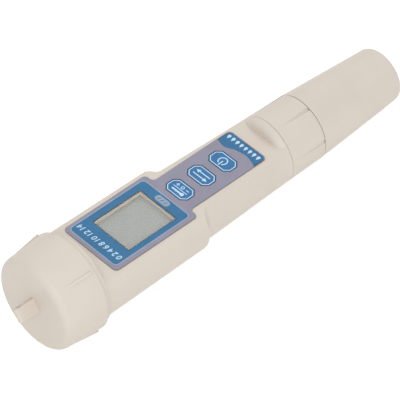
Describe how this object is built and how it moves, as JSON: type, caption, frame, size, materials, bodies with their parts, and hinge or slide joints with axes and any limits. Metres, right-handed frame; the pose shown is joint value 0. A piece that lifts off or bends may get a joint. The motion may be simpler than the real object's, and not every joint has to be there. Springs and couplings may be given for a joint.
{
  "type": "pen-type water quality meter",
  "caption": "Handheld pen-type water tester: round body with a flat key and display face, screw battery cap, plug-in probe held by a ring, and a storage cap.",
  "frame": {"origin": "under the middle of the meter, level with the lowest point of the battery cap's rim", "axes": "+X along the meter from the battery cap to the probe, +Z out of the flat face with the keys"},
  "size_m": [0.1832, 0.04, 0.04],
  "materials": {
    "housing": "beige moulded plastic, fine grain",
    "battery_cap": "beige moulded plastic, fine grain",
    "locking_ring": "beige moulded plastic, fine grain",
    "probe_cap": "beige moulded plastic, fine grain",
    "label_overlay": "grey printed film, blue areas",
    "display_window": "clear plastic pane",
    "lcd_upper_glass": "clear glass",
    "lcd_lower_glass": "clear glass",
    "lcd_polarizers": "grey-green reflective film",
    "lcd_frame": "light moulded plastic",
    "zebra_strips": "layered black rubber",
    "circuit_board": "green solder mask",
    "board_chips": "black moulded epoxy",
    "board_screws": "plated steel",
    "frame_screws": "plated steel",
    "tube_screws": "plated steel",
    "tact_switches": "black moulded plastic",
    "key_temp": "blue printed film",
    "key_mode": "blue printed film",
    "key_power": "blue printed film",
    "temp_plunger": "black moulded plastic",
    "mode_plunger": "black moulded plastic",
    "power_plunger": "black moulded plastic",
    "button_cells": "polished nickel plate",
    "inner_contact": "plated spring steel",
    "battery_tube": "moulded plastic",
    "contact_strips": "plated spring steel",
    "cap_contact_plate": "plated sheet steel",
    "cap_contact_spring": "plated spring steel",
    "neck_oring": "black nitrile rubber",
    "electrode_oring": "black nitrile rubber",
    "cap_oring": "black nitrile rubber",
    "electrode_body": "black moulded plastic",
    "ph_bulb": "thin clear glass",
    "reference_junction": "white porous ceramic",
    "conductivity_pins": "bright alloy pins",
    "temperature_probe": "stainless sheath",
    "electrode_pins": "gold-plated pins",
    "socket_connector": "black moulded plastic",
    "storage_sponge": "soft open-cell sponge"
  },
  "bodies": {
    "meter_body": {"housing": "housing", "label_overlay": "label_overlay", "display_window": "display_window", "lcd_upper_glass": "lcd_upper_glass", "lcd_lower_glass": "lcd_lower_glass", "lcd_polarizers": "lcd_polarizers", "lcd_frame": "lcd_frame", "zebra_strips": "zebra_strips", "circuit_board": "circuit_board", "board_chips": "board_chips", "board_screws": "board_screws", "frame_screws": "frame_screws", "tube_screws": "tube_screws", "tact_switches": "tact_switches", "button_cells": "button_cells", "inner_contact": "inner_contact", "battery_tube": "battery_tube", "contact_strips": "contact_strips", "neck_oring": "neck_oring", "socket_connector": "socket_connector"},
    "temp_button": {"key_temp": "key_temp", "temp_plunger": "temp_plunger"},
    "mode_button": {"key_mode": "key_mode", "mode_plunger": "mode_plunger"},
    "power_button": {"key_power": "key_power", "power_plunger": "power_plunger"},
    "cap_contact": {"cap_contact_plate": "cap_contact_plate", "cap_contact_spring": "cap_contact_spring"},
    "screw_cap": {"battery_cap": "battery_cap"},
    "electrode": {"electrode_body": "electrode_body", "ph_bulb": "ph_bulb", "reference_junction": "reference_junction", "conductivity_pins": "conductivity_pins", "temperature_probe": "temperature_probe", "electrode_pins": "electrode_pins", "electrode_oring": "electrode_oring", "cap_oring": "cap_oring"},
    "ring": {"locking_ring": "locking_ring"},
    "storage_cap": {"probe_cap": "probe_cap", "storage_sponge": "storage_sponge"}
  },
  "joints": [
    {"name": "temp_press", "type": "slide", "parent": "meter_body", "child": "temp_button", "axis": [0, 0, -1], "range_m": [0, 0.0003], "stiffness_N_per_m": 1500},
    {"name": "mode_press", "type": "slide", "parent": "meter_body", "child": "mode_button", "axis": [0, 0, -1], "range_m": [0, 0.0003], "stiffness_N_per_m": 1500},
    {"name": "power_press", "type": "slide", "parent": "meter_body", "child": "power_button", "axis": [0, 0, -1], "range_m": [0, 0.0003], "stiffness_N_per_m": 1500},
    {"name": "cap_lift", "type": "slide", "parent": "meter_body", "child": "cap_contact", "axis": [-1, 0, 0], "range_m": [0, 0.0076]},
    {"name": "cap_turn", "type": "hinge", "parent": "cap_contact", "child": "screw_cap", "pos_m": [-0.07315, 0, 0.02], "axis": [-1, 0, 0], "range_deg": [0, 1080]},
    {"name": "electrode_lift", "type": "slide", "parent": "meter_body", "child": "electrode", "axis": [1, 0, 0], "range_m": [0, 0.0046]},
    {"name": "ring_turn", "type": "hinge", "parent": "electrode", "child": "ring", "pos_m": [0.03985, 0, 0.02], "axis": [1, 0, 0], "range_deg": [0, 1080]},
    {"name": "probe_cap_pull", "type": "slide", "parent": "electrode", "child": "storage_cap", "axis": [1, 0, 0], "range_m": [0, 0.045]}
  ],
  "couplings": [
    {"joint": "cap_lift", "follows": "cap_turn", "m_per_rad": 0.00039789},
    {"joint": "electrode_lift", "follows": "ring_turn", "m_per_rad": 0.00023873}
  ]
}
